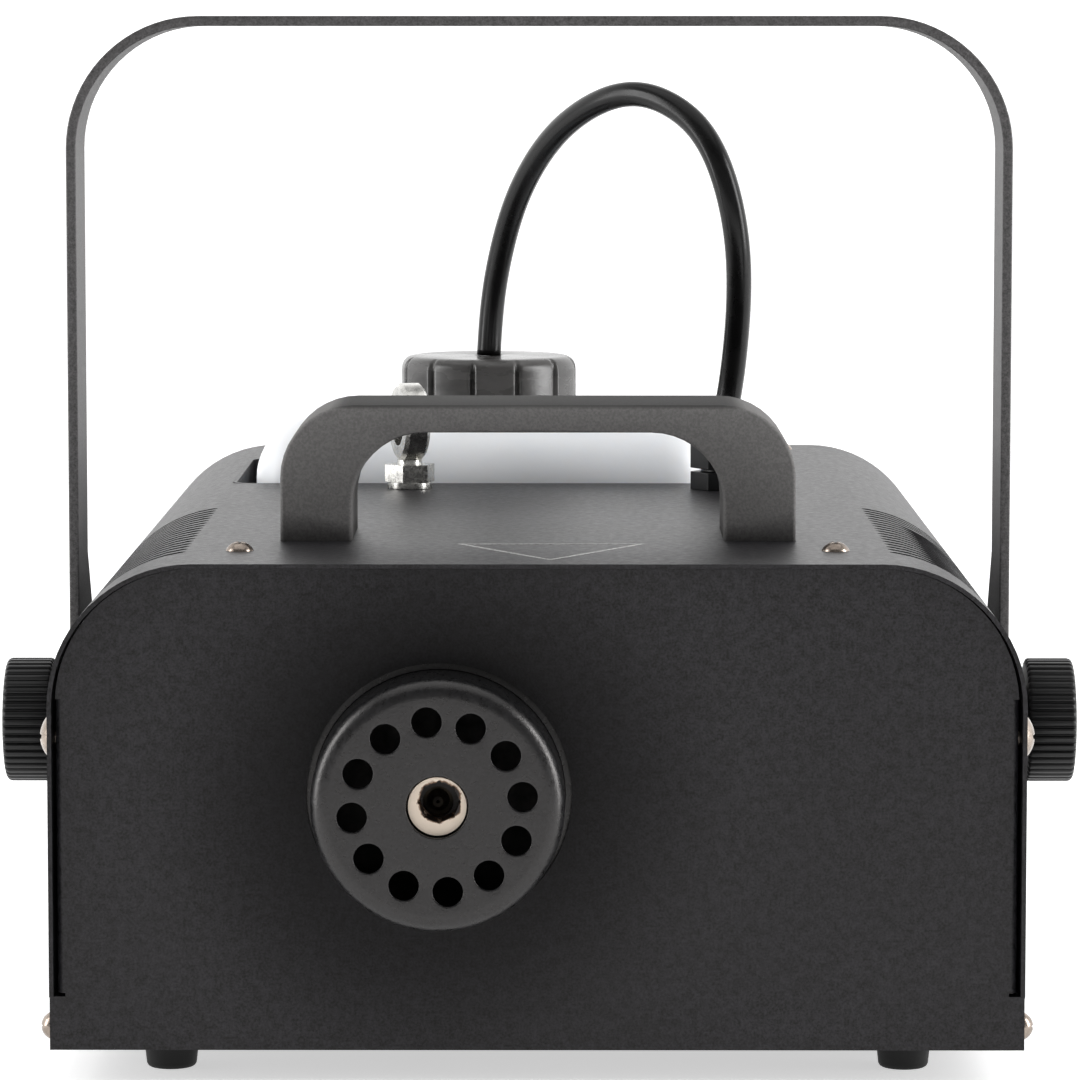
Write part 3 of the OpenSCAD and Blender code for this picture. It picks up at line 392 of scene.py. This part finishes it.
def make_finishes():
    """One material for each of the record's slots."""
    return {
        "housing_paint": powder_coat("housing_paint", PAINT_DARK, PAINT_LIGHT, PAINT_ROUGHNESS,
                                     PAINT_GRAIN, PAINT_DEPTH, PAINT_SHINE),
        "yoke_paint": powder_coat("yoke_paint", (0.026, 0.0255, 0.026), (0.105, 0.102, 0.104), 0.50,
                                  1500.0, 0.00008),
        # The guard gets painted shade: black beyond its rim, where its flange sits in the gap behind the panel.
        "guard_paint": powder_coat("guard_paint", PAINT_DARK, GUARD_LIGHT, 0.30,
                                   1500.0, 0.00010, 0.50, painted_shade=(0.0345, 0.037, 0.0, 1.0)),
        # The handle's last colour is painted shade along its top.
        "handle_plastic": grained_plastic("handle_plastic", (0.140, 0.136, 0.134), (0.185, 0.180, 0.177),
                                          (0.045, 0.044, 0.043)),
        "black_plastic": moulded_plastic("black_plastic", (0.002, 0.002, 0.0022), (0.006, 0.006, 0.0063), 0.34,
                                         specular=0.35),
        "cap_plastic": moulded_plastic("cap_plastic", (0.030, 0.029, 0.028), (0.075, 0.072, 0.070), 0.26),
        "white_plastic": moulded_plastic("white_plastic", (0.70, 0.68, 0.61), (0.80, 0.78, 0.71), 0.42),
        "coil": moulded_plastic("coil", (0.20, 0.026, 0.018), (0.30, 0.045, 0.030), 0.38),
        "components": moulded_plastic("components", (0.012, 0.020, 0.05), (0.022, 0.034, 0.08), 0.34),
        "rocker_red": moulded_plastic("rocker_red", (0.26, 0.010, 0.008), (0.36, 0.018, 0.012), 0.22),
        "rubber": soft_rubber("rubber", (0.009, 0.009, 0.009), (0.016, 0.016, 0.016), 0.55),
        "hose_rubber": soft_rubber("hose_rubber", (0.003, 0.003, 0.0031), (0.007, 0.0068, 0.0068), 0.24, 0.00001),
        "tank_plastic": blown_tank(),
        "insulator": scorched_and_shaded_ceramic(),
        "wool": mineral_wool(),
        "zinc": plated_metal("zinc", (0.36, 0.355, 0.34), (0.66, 0.65, 0.62), 0.24, cast=0.00002),
        "screw_nickel": plated_metal("screw_nickel", (0.20, 0.165, 0.14), (0.40, 0.34, 0.29), 0.22),
        "bare_steel": plated_metal("bare_steel", (0.42, 0.42, 0.42), (0.56, 0.56, 0.56), 0.36,
                                   streak=(60.0, 1500.0, 1500.0)),
        "aluminium": plated_metal("aluminium", (0.55, 0.55, 0.55), (0.70, 0.70, 0.71), 0.42, cast=0.0002),
        "brass": sooty_and_shaded_metal("brass", (0.010, 0.008, 0.006), (0.05, 0.036, 0.02)),
        "copper": plated_metal("copper", (0.52, 0.22, 0.11), (0.68, 0.33, 0.19), 0.26),
        "board": circuit_board(),
        "display": smoked_window(),
    }


def make_special_finishes():
    """Pieces whose finish differs from the rest of their slot."""
    return {
        # The front panel gets painted shade round the guard, darkest next to it and gone about 88 mm from its axis.
        "chassis": powder_coat("front_paint", PAINT_DARK, PAINT_LIGHT, PAINT_ROUGHNESS,
                               PAINT_GRAIN, PAINT_DEPTH, PAINT_SHINE, painted_shade=(0.036, 0.088, 0.65, 0.0)),
        # The heater case is painted near black as painted shade, so that the guard's holes look dark.
        "heater_case": sooty_and_shaded_metal("heater_painted_shade", (0.010, 0.009, 0.009), (0.04, 0.037, 0.036)),
    }


FINISHES = make_finishes()
SPECIAL_FINISHES = make_special_finishes()
SLOT_OF = {part["node"]: part["material_slot"] for part in frame["record"]["subparts"]}


def dress(obj, slot, finish=None):
    """Gives a piece the finish of a slot of the record, or another finish."""
    obj.data.materials.clear()
    obj.data.materials.append(finish or FINISHES[slot])


def finish_cad_nodes():
    for name, obj in NODES.items():
        obj.data.materials.clear()
        obj.data.materials.append(SPECIAL_FINISHES.get(name) or FINISHES[SLOT_OF[name]])


finish_cad_nodes()


# ---- meshes --------------------------------------------------------------------------------

def mesh_object(name, points, faces, slot, finish=None):
    """A smooth mesh piece from points in metres and faces, in the finish of a slot or another one."""
    mesh = bpy.data.meshes.new(name)
    mesh.from_pydata([tuple(p) for p in points], [], faces)
    mesh.validate()
    mesh.update()
    for face in mesh.polygons:
        face.use_smooth = True
    obj = bpy.data.objects.new(name, mesh)
    bpy.context.scene.collection.objects.link(obj)
    dress(obj, slot, finish)
    return obj


def skin(rings, closed=False):
    """Points and faces through rings of equal length; open ends are closed with a fan, closed ones join up."""
    count = len(rings[0])
    points = [p for ring in rings for p in ring]
    spans = len(rings) if closed else len(rings) - 1
    faces = []
    for i in range(spans):
        here, there = i * count, (i + 1) % len(rings) * count
        for k in range(count):
            after = (k + 1) % count
            faces.append((here + k, here + after, there + after, there + k))
    if not closed:
        for ring, flip in ((0, True), (len(rings) - 1, False)):
            middle = sum((Vector(p) for p in rings[ring]), Vector()) / count
            points.append(middle)
            hub = len(points) - 1
            for k in range(count):
                a, b = ring * count + k, ring * count + (k + 1) % count
                faces.append((hub, b, a) if flip else (hub, a, b))
    return points, faces


def turned(profile, steps, across, along, origin, flutes=0, phase=0.0, share=0.4, flat=0.0):
    """Rings round an axis: profile rows are (distance along, radius, flute depth), in millimetres.

    share is how much of the pitch a flute takes; flat from 0 to 1 flattens the panels between the flutes."""
    side = across.normalized()
    other = along.cross(side)
    rings = []
    for length, radius, depth in profile:
        ring = []
        for i in range(steps):
            angle = 2 * math.pi * i / steps
            cut = 0.0
            if flutes and depth:
                turn = ((angle - phase) * flutes / (2 * math.pi)) % 1.0
                cut = depth * smoothstep(1 - share, 1, abs(turn - 0.5) * 2)
                off_middle = (turn - 0.5) * 2 * math.pi / flutes
                cut += flat * radius * (1 - math.cos(math.pi / flutes) / math.cos(off_middle))
            reach = (radius - cut) * MM
            outwards = side * math.cos(angle) + other * math.sin(angle)
            ring.append(origin + along * (length * MM) + outwards * reach)
        rings.append(ring)
    return rings


# ---- hose ----------------------------------------------------------------------------------

HOSE_RADIUS = 4.0
HOSE_SIDES = 28
HOSE_STEPS = 5
HOSE_ROUNDS = 24
HOSE_REFERENCE = Vector((0.72, 0.69, 0.0))
HOSE_ROUTE = [
    (-17.5, 311, 183.3), (-17, 311, 193), (-16, 310, 203.5), (-14.5, 307.5, 212.5), (-12, 304, 223.5),
    (-9, 298.5, 234), (-4, 290.5, 245), (2, 280.5, 254.5), (9, 270, 262), (17, 260, 267.5), (25.5, 252, 271),
    (33.5, 246, 271), (41, 239.5, 268), (47.5, 234.5, 263.5), (52.5, 230.5, 257.5), (56.5, 227, 249.5),
    (59.5, 225, 240), (62, 225, 228.5), (63, 227, 217), (63.2, 231, 205.5), (62.6, 237.5, 192.5),
    (61.2, 241.5, 179), (60, 242, 172), (59, 242, 168),
]


def smooth_line(points, steps):
    """Points on a smooth curve through the given ones."""
    line = []
    last = len(points) - 1
    for i in range(last):
        a, b = points[max(i - 1, 0)], points[i]
        c, d = points[i + 1], points[min(i + 2, last)]
        for k in range(steps):
            t = k / steps
            line.append(0.5 * (2 * b + (c - a) * t + (2 * a - 5 * b + 4 * c - d) * t * t
                               + (3 * b - a - 3 * c + d) * t * t * t))
    line.append(points[last])
    return line


def relaxed(line, rounds):
    """The same line with its small kinks evened out and its ends kept."""
    for _ in range(rounds):
        inner = [(line[i - 1] + 2 * line[i] + line[i + 1]) / 4 for i in range(1, len(line) - 1)]
        line = [line[0], *inner, line[-1]]
    return line


def tube_rings(line, radius, sides, reference):
    """Rings round a line; reference is a direction that the line never runs along."""
    rings = []
    last = len(line) - 1
    for i, point in enumerate(line):
        heading = (line[min(i + 1, last)] - line[max(i - 1, 0)]).normalized()
        side = reference.cross(heading).normalized()
        other = heading.cross(side)
        rings.append([
            point + (side * math.cos(2 * math.pi * k / sides) + other * math.sin(2 * math.pi * k / sides)) * radius
            for k in range(sides)
        ])
    return rings


def add_hose():
    """The free hose from the cap over to the gland, evened out so that no bend is too tight."""
    line = relaxed(smooth_line([place(*p) for p in HOSE_ROUTE], HOSE_STEPS), HOSE_ROUNDS)
    rings = tube_rings(line, HOSE_RADIUS * MM, HOSE_SIDES, HOSE_REFERENCE)
    hose = mesh_object("free_hose", *skin(rings), "hose_rubber")
    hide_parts("fluid_hose")
    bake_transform(hose)


add_hose()


# ---- knobs and cap -------------------------------------------------------------------------

KNOB_RIBS = 46
KNOB_STEPS = 10
CAP_FLUTES = 12
CAP_STEPS = 30
CAP_PHASE = math.radians(20)


def add_knob(name, side):
    """A ribbed clamping knob with a collar and stud, pointing out along X on one side (1 or -1)."""
    low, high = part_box(name)
    middle = (low + high) / 2
    out = Vector((side, 0.0, 0.0))
    reach = (high.x if side > 0 else -low.x) / MM
    inner = (low.x if side > 0 else -high.x) / MM
    radius = (high.z - low.z) / 2 / MM
    stud, collar = 4.0, 10.5
    head = reach - 14.6
    collar_at = head - 5.4
    profile = [
        (inner, stud - 0.8, 0), (inner + 0.8, stud, 0), (collar_at - 0.05, stud, 0),
        (collar_at, stud + 0.1, 0), (collar_at, collar - 0.6, 0), (collar_at + 0.6, collar, 0),
        (head - 0.05, collar, 0), (head, collar + 0.2, 0), (head, radius - 2.2, 0),
        (head + 0.2, radius - 0.8, 0.5), (head + 0.6, radius - 0.2, 0.95), (head + 1.1, radius, 1.0),
        (reach - 1.6, radius, 1.0), (reach - 0.9, radius - 0.2, 0.9), (reach - 0.4, radius - 0.6, 0.6),
        (reach - 0.1, radius - 1.2, 0.2), (reach, radius - 2.0, 0), (reach - 0.3, radius - 4.5, 0),
        (reach - 0.4, radius - 12, 0), (reach - 0.4, 2.0, 0),
    ]
    origin = Vector((0.0, middle.y, middle.z))
    rings = turned(profile, KNOB_RIBS * KNOB_STEPS, Vector((0, 1, 0)), out, origin, flutes=KNOB_RIBS, share=0.6)
    knob = mesh_object(name + "_ribbed", *skin(rings), "black_plastic")
    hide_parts(name)
    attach(knob, name)


def add_cap():
    """The tank's cap: a cup with a hole for the hose, and flutes between slightly flattened panels."""
    low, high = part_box("tank_cap")
    middle = (low + high) / 2
    radius = (high.x - low.x) / 2 / MM
    bottom, top = low.z / MM, high.z / MM
    bore, ceiling, hole = 25.35, top - 3.7, 4.3
    profile = [
        (bottom, bore + 0.4, 0), (bottom, radius - 0.9, 0), (bottom + 0.15, radius - 0.3, 0.5),
        (bottom + 0.6, radius, 1.9), (bottom + 2.5, radius, 2.0), (top - 4.5, radius, 2.0),
        (top - 3.0, radius - 0.15, 1.2), (top - 1.8, radius - 0.7, 0.9), (top - 0.9, radius - 1.5, 0.6),
        (top - 0.3, radius - 2.6, 0.3), (top - 0.05, radius - 3.8, 0.1), (top, radius - 5.0, 0),
        (top, hole + 0.8, 0), (top - 0.2, hole + 0.25, 0), (top - 0.6, hole, 0), (ceiling, hole, 0),
        (ceiling, bore - 0.4, 0), (ceiling - 0.4, bore, 0), (bottom + 0.4, bore, 0),
    ]
    origin = Vector((middle.x, middle.y, 0.0))
    rings = turned(profile, CAP_FLUTES * CAP_STEPS, Vector((1, 0, 0)), Vector((0, 0, 1)), origin,
                   flutes=CAP_FLUTES, phase=CAP_PHASE, share=0.17, flat=0.3)
    cap = mesh_object("cap_ribbed", *skin(rings, closed=True), "cap_plastic")
    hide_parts("tank_cap")
    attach(cap, "cap")


add_knob("knob_left", -1)
add_knob("knob_right", 1)
add_cap()


# ---- tank ----------------------------------------------------------------------------------

def rounded_ring(middle, width, depth, radius, z, steps=10):
    """A level ring round a rectangle with rounded corners, counterclockwise from the front right."""
    ring = []
    for corner in range(4):
        turn = math.pi / 2 * corner
        sx = 1 if corner in (0, 3) else -1
        sy = 1 if corner in (0, 1) else -1
        hub = (middle.x + sx * (width / 2 - radius), middle.y + sy * (depth / 2 - radius))
        for k in range(steps + 1):
            angle = turn + math.pi / 2 * k / steps
            ring.append(Vector((hub[0] + radius * math.cos(angle), hub[1] + radius * math.sin(angle), z)))
    return ring


TANK_SHOULDER_R = 20 * MM
TANK_FOOT_R = 7 * MM
TANK_CORNER_R = 15 * MM
NECK_R = 25.0
NECK_BORE_R = 21.0


def tank_rings(middle, width, depth, bottom, top):
    """Rings up the tank: over its rounded foot, up its walls and over its shoulder."""
    shoulder, foot, corner = TANK_SHOULDER_R, TANK_FOOT_R, TANK_CORNER_R
    rings = []
    for k in range(7):
        a = math.pi / 2 * k / 6
        inset = foot * (1 - math.sin(a))
        rings.append(rounded_ring(middle, width - 2 * inset, depth - 2 * inset, corner - inset,
                                  bottom + foot * (1 - math.cos(a))))
    for k in range(1, 8):
        rings.append(rounded_ring(middle, width, depth, corner,
                                  bottom + foot + (top - shoulder - bottom - foot) * k / 8))
    for k in range(13):
        a = math.pi / 2 * k / 12
        inset = shoulder * (1 - math.cos(a))
        rings.append(rounded_ring(middle, width - 2 * inset, depth - 2 * inset, max(corner - inset, 0.2 * MM),
                                  top - shoulder * (1 - math.sin(a))))
    return rings


def add_neck(top, neck_top):
    """The tank's neck, from just inside its shoulder up into the cap; both heights in millimetres."""
    cap_at = centre("tank_cap")
    profile = [
        (top - 1, NECK_R, 0), (top + 0.2, NECK_R, 0), (neck_top - 0.5, NECK_R, 0), (neck_top, NECK_R - 0.5, 0),
        (neck_top, NECK_BORE_R + 0.5, 0), (neck_top - 0.5, NECK_BORE_R, 0), (top - 1, NECK_BORE_R, 0),
    ]
    origin = Vector((cap_at.x, cap_at.y, 0))
    rings = turned(profile, 72, Vector((1, 0, 0)), Vector((0, 0, 1)), origin)
    neck = mesh_object("tank_neck", *skin(rings, closed=True), "tank_plastic")
    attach(neck, "tank")


def add_tank():
    """The blow-moulded tank, rounded all over, with its neck."""
    low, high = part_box("tank")
    middle = (low + high) / 2
    width, depth = high.x - low.x, high.y - low.y
    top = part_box("tank_cap")[0].z - 0.4 * MM
    rings = tank_rings(middle, width, depth, low.z, top)
    tank = mesh_object("tank_blown", *skin(rings), "tank_plastic")
    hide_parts("tank")
    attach(tank, "tank")
    add_neck(top / MM, high.z / MM)


add_tank()


# ---- handle and print ----------------------------------------------------------------------

HANDLE_OUTER_R = 21.0
HANDLE_INNER_R = 21.0
HANDLE_EDGE_R = 1.1
LEG_W = 20.6
BAR_T = 7.9
PRINT = printed_line()
PRINT_CORNERS = [(-23, 58, 0), (30.5, 58, 0), (3.6, 11, 0)]
PRINT_INNER_SHARE = 0.92
PRINT_T = 0.08


def bow(half, foot, top, radius, steps=10):
    """A line in X and Z up one side of an arch, over its rounded corners and down the other side."""
    line = [(-half, foot), (-half, (foot + top - radius) / 2)]
    for k in range(steps + 1):
        angle = math.pi - math.pi / 2 * k / steps
        line.append((-half + radius + radius * math.cos(angle), top - radius + radius * math.sin(angle)))
    line.append((0.0, top))
    return line + [(-x, z) for x, z in reversed(line[:-1])]


def bar_ring(outer, inner, front, back, edge, steps=4):
    """A rounded rectangle from the inner to the outer point and from the front to the back."""
    across = (outer - inner).normalized()
    deep = Vector((0.0, 1.0, 0.0))
    corners = (
        (outer, -across, front, deep, math.pi / 2), (outer, -across, back, -deep, 0.0),
        (inner, across, back, -deep, math.pi / 2), (inner, across, front, deep, 0.0),
    )
    ring = []
    for point, inwards, level, along, start in corners:
        hub = point + inwards * edge
        hub = Vector((hub.x, level, hub.z)) + along * edge
        for k in range(steps + 1):
            angle = start + (math.pi / 2 * k / steps if start == 0.0 else -math.pi / 2 * k / steps)
            ring.append(hub - inwards * edge * math.cos(angle) - along * edge * math.sin(angle))
    return ring


def add_handle():
    """The moulded handle: a broad bow with rounded edges all round."""
    low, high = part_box("handle")
    half, height = high.x / MM, (high.z - low.z) / MM
    outer = bow(half, 0.0, height, HANDLE_OUTER_R)
    inner = bow(half - LEG_W, 0.0, height - BAR_T, HANDLE_INNER_R)
    rings = []
    for (ox, oz), (ix, iz) in zip(outer, inner):
        out_point = Vector((ox * MM, 0.0, low.z + oz * MM))
        in_point = Vector((ix * MM, 0.0, low.z + iz * MM))
        rings.append(bar_ring(out_point, in_point, low.y, high.y, HANDLE_EDGE_R * MM))
    handle = mesh_object("handle_bow", *skin(rings), "handle_plastic")
    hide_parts("handle")
    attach(handle, "housing")


def add_print():
    """A plain triangle outline printed on the cover behind the front rim."""
    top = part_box("cover")[1].z
    corners = [place(*corner) for corner in PRINT_CORNERS]
    middle = sum(corners, Vector()) / 3
    points = []
    for level in (top, top + PRINT_T * MM):
        for share in (1.0, PRINT_INNER_SHARE):
            for corner in corners:
                at = middle + (corner - middle) * share
                points.append(Vector((at.x, at.y, level)))
    faces = []
    for k in range(3):
        n = (k + 1) % 3
        faces += [(6 + k, 6 + n, 9 + n, 9 + k), (k, 3 + k, 3 + n, n)]
        faces += [(k, n, 6 + n, 6 + k), (3 + k, 9 + k, 9 + n, 3 + n)]
    outline = mesh_object("print_outline", points, faces, "housing_paint", PRINT)
    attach(outline, "housing")


add_handle()
add_print()


# ---- softened edges on the CAD nodes --------------------------------------------------------

def soften(name, width, segments=2, angle=35.0):
    """Rounds a CAD node's hard edges a little, as bent sheet, castings and mouldings have them."""
    obj = NODES[name]
    weld = obj.modifiers.new("weld", "WELD")
    weld.merge_threshold = 1e-6
    bevel = obj.modifiers.new("bevel", "BEVEL")
    bevel.width = width * MM
    bevel.segments = segments
    bevel.limit_method = "ANGLE"
    bevel.angle_limit = math.radians(angle)
    bevel.harden_normals = False
    normals = obj.modifiers.new("normals", "WEIGHTED_NORMAL")
    normals.keep_sharp = False
    for face in obj.data.polygons:
        face.use_smooth = True


SOFT_EDGES = {
    "yoke": 0.5, "chassis": 0.2, "heat_guard": 0.4, "eye_bolt": 0.5,
    "eye_washer": 0.25, "gland_body": 0.35, "gland_nut": 0.4, "feet": 0.5, "top_screws": 0.2,
    "side_screws": 0.2, "dome_screws": 0.25, "tank_well": 0.25, "rear_panel": 0.25, "power_inlet": 0.5,
    "switch_frame": 0.4, "power_rocker": 0.5, "dmx_in": 0.3, "dmx_out": 0.3, "display_window": 0.4,
    "fuse_drawer": 0.3, "nozzle_insulator": 0.25, "rear_screws": 0.12, "knob_washers": 0.2, "yoke_spacers": 0.3,
    "menu_button_1": 0.4, "menu_button_2": 0.4, "menu_button_3": 0.4, "menu_button_4": 0.4,
}


for node_name, edge in SOFT_EDGES.items():
    soften(node_name, edge)


# ---- floor and light -----------------------------------------------------------------------

FLOOR_GLOW = 0.6


def add_floor():
    """A large plain pale floor with a faint glow, so that it stays light under the object."""
    size = 20.0
    mesh = bpy.data.meshes.new("floor")
    mesh.from_pydata([(-size, -size, 0), (size, -size, 0), (size, size, 0), (-size, size, 0)], [], [(0, 1, 2, 3)])
    floor = bpy.data.objects.new("floor", mesh)
    bpy.context.scene.collection.objects.link(floor)
    look = Finish("floor_paper", Roughness=0.9)
    paper = look.ramp(look.noise(3.0, 2.0, 0.5), (0.3, (0.90, 0.90, 0.90)), (0.7, (0.93, 0.93, 0.93)))
    look.colour(paper)
    look.feed(paper, look.bsdf.inputs["Emission Color"])
    look.bsdf.inputs["Emission Strength"].default_value = FLOOR_GLOW
    mesh.materials.append(look.material)


def add_area(name, at, aim, width, height, power):
    data = bpy.data.lights.new(name, "AREA")
    data.shape = "RECTANGLE"
    data.size = width
    data.size_y = height
    data.energy = power
    light = bpy.data.objects.new(name, data)
    bpy.context.scene.collection.objects.link(light)
    light.location = at
    light.rotation_mode = "QUATERNION"
    light.rotation_quaternion = (Vector(aim) - Vector(at)).to_track_quat("-Z", "Y")


# How strong the studio is along each axis of the view direction: (axis, start, end, at start, at end).
STUDIO_RAMPS = (("Y", -0.6, 0.4, 0.28, 1.6), ("Z", 0.35, 0.95, 1.0, 0.35))


def add_world():
    """A studio that is bright behind and above the object and darker behind the camera."""
    world = bpy.data.worlds.new("studio")
    bpy.context.scene.world = world
    world.use_nodes = True
    tree = world.node_tree
    tree.nodes.clear()
    coords = tree.nodes.new("ShaderNodeTexCoord")
    split = tree.nodes.new("ShaderNodeSeparateXYZ")
    tree.links.new(coords.outputs["Generated"], split.inputs[0])
    background = tree.nodes.new("ShaderNodeBackground")
    out = tree.nodes.new("ShaderNodeOutputWorld")
    product = tree.nodes.new("ShaderNodeMath")
    product.operation = "MULTIPLY"
    for k, (axis, start, end, low, high) in enumerate(STUDIO_RAMPS):
        ramp = tree.nodes.new("ShaderNodeMapRange")
        ramp.interpolation_type = "SMOOTHSTEP"
        for socket, value in (("From Min", start), ("From Max", end), ("To Min", low), ("To Max", high)):
            ramp.inputs[socket].default_value = value
        tree.links.new(split.outputs[axis], ramp.inputs["Value"])
        tree.links.new(ramp.outputs["Result"], product.inputs[k])
    tree.links.new(product.outputs["Value"], background.inputs["Strength"])
    background.inputs["Color"].default_value = (*WHITE, 1.0)
    tree.links.new(background.outputs[0], out.inputs["Surface"])


def add_lights():
    add_world()
    add_area("top_box", (0.0, -0.2, 2.2), (0.0, 0.0, 0.1), 2.4, 2.0, 12.0)
    add_area("left_box", (-1.6, -0.30, 0.55), (0.0, -0.1, 0.10), 0.5, 1.5, 17.0)
    add_area("right_box", (1.6, -0.30, 0.55), (0.0, -0.1, 0.10), 0.5, 1.5, 25.0)
    bpy.context.scene.view_settings.view_transform = "Standard"


add_floor()
add_lights()
